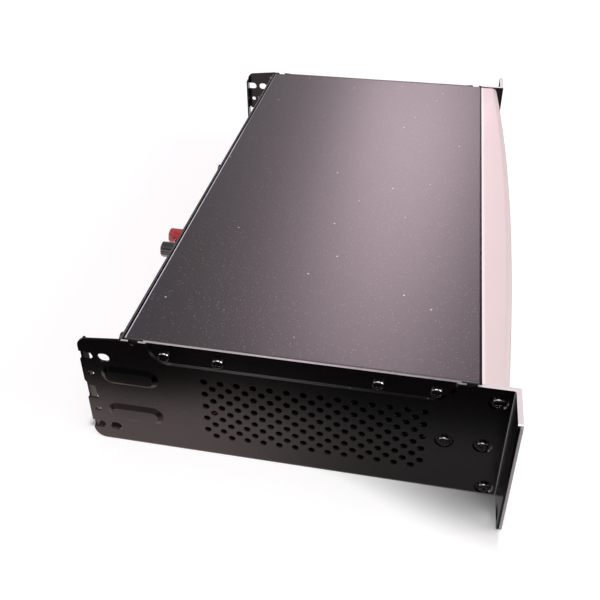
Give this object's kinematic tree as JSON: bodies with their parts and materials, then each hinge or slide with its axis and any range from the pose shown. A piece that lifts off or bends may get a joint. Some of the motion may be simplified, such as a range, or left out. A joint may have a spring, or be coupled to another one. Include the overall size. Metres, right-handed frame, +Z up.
{
  "type": "audio power amplifier",
  "caption": "Rack-mount audio power amplifier: black vented steel case with rack ears, bowed silver front with level knobs and rocker switch, rear fan, sockets and binding posts.",
  "frame": {"origin": "on the underside, midway across and midway between the rack face of the ears and the end of the rear ears", "axes": "+X to the right seen from the front, +Y to the rear, +Z up; the front panel faces -Y"},
  "size_m": [0.4826, 0.2652, 0.087],
  "materials": {
    "black_coat": "satin black powder coat",
    "cover_coat": "fine textured black powder coat",
    "silver_front": "painted silver",
    "zinc_steel": "zinc plated",
    "black_screw": "black oxide, oiled",
    "bright_steel": "nickel plated",
    "brass": "turned",
    "black_plastic": "moulded",
    "gloss_black": "moulded gloss",
    "gloss_red": "moulded gloss",
    "ivory": "moulded",
    "clear_pipe": "clear moulded",
    "board": "solder masked glass laminate",
    "sink": "black anodised extrusion",
    "winding": "lacquered copper wire under tape",
    "can": "shrink sleeve",
    "rubber": "moulded"
  },
  "bodies": {
    "chassis": {"base_tray": "zinc_steel", "left_side_panel": "black_coat", "right_side_panel": "black_coat", "left_ear_stiffener": "black_coat", "right_ear_stiffener": "black_coat", "top_cover": "cover_coat", "rear_panel": "black_coat", "front_panel": "silver_front", "front_subpanel": "zinc_steel", "cover_screws": "black_screw", "side_screws": "black_screw", "rear_screws": "black_screw", "control_board": "board", "indicator_lamps": "ivory", "light_pipes": "clear_pipe", "level_pots": "zinc_steel", "pot_nuts": "bright_steel", "power_switch_body": "black_plastic", "fan_frame": "black_plastic", "fan_guard": "black_coat", "fan_screws": "bright_steel", "power_inlet": "black_plastic", "inlet_pins": "bright_steel", "breaker_body": "black_plastic", "input_socket_1": "black_plastic", "input_socket_2": "black_plastic", "input_board": "board", "mode_switch_body": "zinc_steel", "speaker_socket_1": "black_plastic", "speaker_socket_2": "black_plastic", "post_bases": "gloss_black", "post_studs": "brass", "post_lock_nuts": "bright_steel", "transformer": "winding", "transformer_pads": "rubber", "transformer_clamp": "zinc_steel", "amplifier_board": "board", "board_standoffs": "brass", "heat_sinks": "sink", "output_transistors": "gloss_black", "reservoir_capacitors": "can", "board_parts": "black_plastic"},
    "level_1": {"level_knob_1": "black_plastic", "level_shaft_1": "bright_steel"},
    "level_2": {"level_knob_2": "black_plastic", "level_shaft_2": "bright_steel"},
    "power_rocker": {"power_rocker": "black_plastic"},
    "fan_rotor": {"fan_rotor": "black_plastic"},
    "breaker_button": {"breaker_button": "ivory"},
    "mode_slider": {"mode_slider": "black_plastic"},
    "input_latch_1": {"input_latch_1": "bright_steel"},
    "input_latch_2": {"input_latch_2": "bright_steel"},
    "post_insert_1": {"post_insert_1": "brass"},
    "post_cap_1": {"post_cap_1": "gloss_red"},
    "post_insert_2": {"post_insert_2": "brass"},
    "post_cap_2": {"post_cap_2": "gloss_black"},
    "post_insert_3": {"post_insert_3": "brass"},
    "post_cap_3": {"post_cap_3": "gloss_red"},
    "post_insert_4": {"post_insert_4": "brass"},
    "post_cap_4": {"post_cap_4": "gloss_black"}
  },
  "joints": [
    {"name": "level_1_turn", "type": "hinge", "parent": "chassis", "child": "level_1", "pos_m": [-0.06, -0.12, 0.0435], "axis": [0, 1, 0], "range_deg": [0, 300]},
    {"name": "level_2_turn", "type": "hinge", "parent": "chassis", "child": "level_2", "pos_m": [0.06, -0.12, 0.0435], "axis": [0, 1, 0], "range_deg": [0, 300]},
    {"name": "power_rock", "type": "hinge", "parent": "chassis", "child": "power_rocker", "pos_m": [0.178, -0.12582, 0.0435], "axis": [1, 0, 0], "range_deg": [-16, 0]},
    {"name": "fan_spin", "type": "hinge", "parent": "chassis", "child": "fan_rotor", "pos_m": [0.095, 0.088, 0.0435], "axis": [0, 1, 0], "continuous": true},
    {"name": "breaker_trip", "type": "slide", "parent": "chassis", "child": "breaker_button", "axis": [0, 1, 0], "range_m": [0, 0.004]},
    {"name": "mode_slide", "type": "slide", "parent": "chassis", "child": "mode_slider", "axis": [1, 0, 0], "range_m": [0, 0.004]},
    {"name": "latch_1_press", "type": "slide", "parent": "chassis", "child": "input_latch_1", "axis": [0, 0, 1], "range_m": [-0.0015, 0], "stiffness_N_per_m": 600},
    {"name": "latch_2_press", "type": "slide", "parent": "chassis", "child": "input_latch_2", "axis": [0, 0, 1], "range_m": [-0.0015, 0], "stiffness_N_per_m": 600},
    {"name": "post_1_lift", "type": "slide", "parent": "chassis", "child": "post_insert_1", "axis": [0, 1, 0], "range_m": [0, 0.004]},
    {"name": "post_1_turn", "type": "hinge", "parent": "post_insert_1", "child": "post_cap_1", "pos_m": [-0.062, 0.1115, 0.06], "axis": [0, 1, 0], "range_deg": [0, 1800]},
    {"name": "post_2_lift", "type": "slide", "parent": "chassis", "child": "post_insert_2", "axis": [0, 1, 0], "range_m": [0, 0.004]},
    {"name": "post_2_turn", "type": "hinge", "parent": "post_insert_2", "child": "post_cap_2", "pos_m": [-0.08105, 0.1115, 0.06], "axis": [0, 1, 0], "range_deg": [0, 1800]},
    {"name": "post_3_lift", "type": "slide", "parent": "chassis", "child": "post_insert_3", "axis": [0, 1, 0], "range_m": [0, 0.004]},
    {"name": "post_3_turn", "type": "hinge", "parent": "post_insert_3", "child": "post_cap_3", "pos_m": [-0.062, 0.1115, 0.028], "axis": [0, 1, 0], "range_deg": [0, 1800]},
    {"name": "post_4_lift", "type": "slide", "parent": "chassis", "child": "post_insert_4", "axis": [0, 1, 0], "range_m": [0, 0.004]},
    {"name": "post_4_turn", "type": "hinge", "parent": "post_insert_4", "child": "post_cap_4", "pos_m": [-0.08105, 0.1115, 0.028], "axis": [0, 1, 0], "range_deg": [0, 1800]}
  ],
  "couplings": [
    {"joint": "post_1_turn", "follows": "post_1_lift", "rad_per_m": 7854},
    {"joint": "post_2_turn", "follows": "post_2_lift", "rad_per_m": 7854},
    {"joint": "post_3_turn", "follows": "post_3_lift", "rad_per_m": 7854},
    {"joint": "post_4_turn", "follows": "post_4_lift", "rad_per_m": 7854}
  ]
}
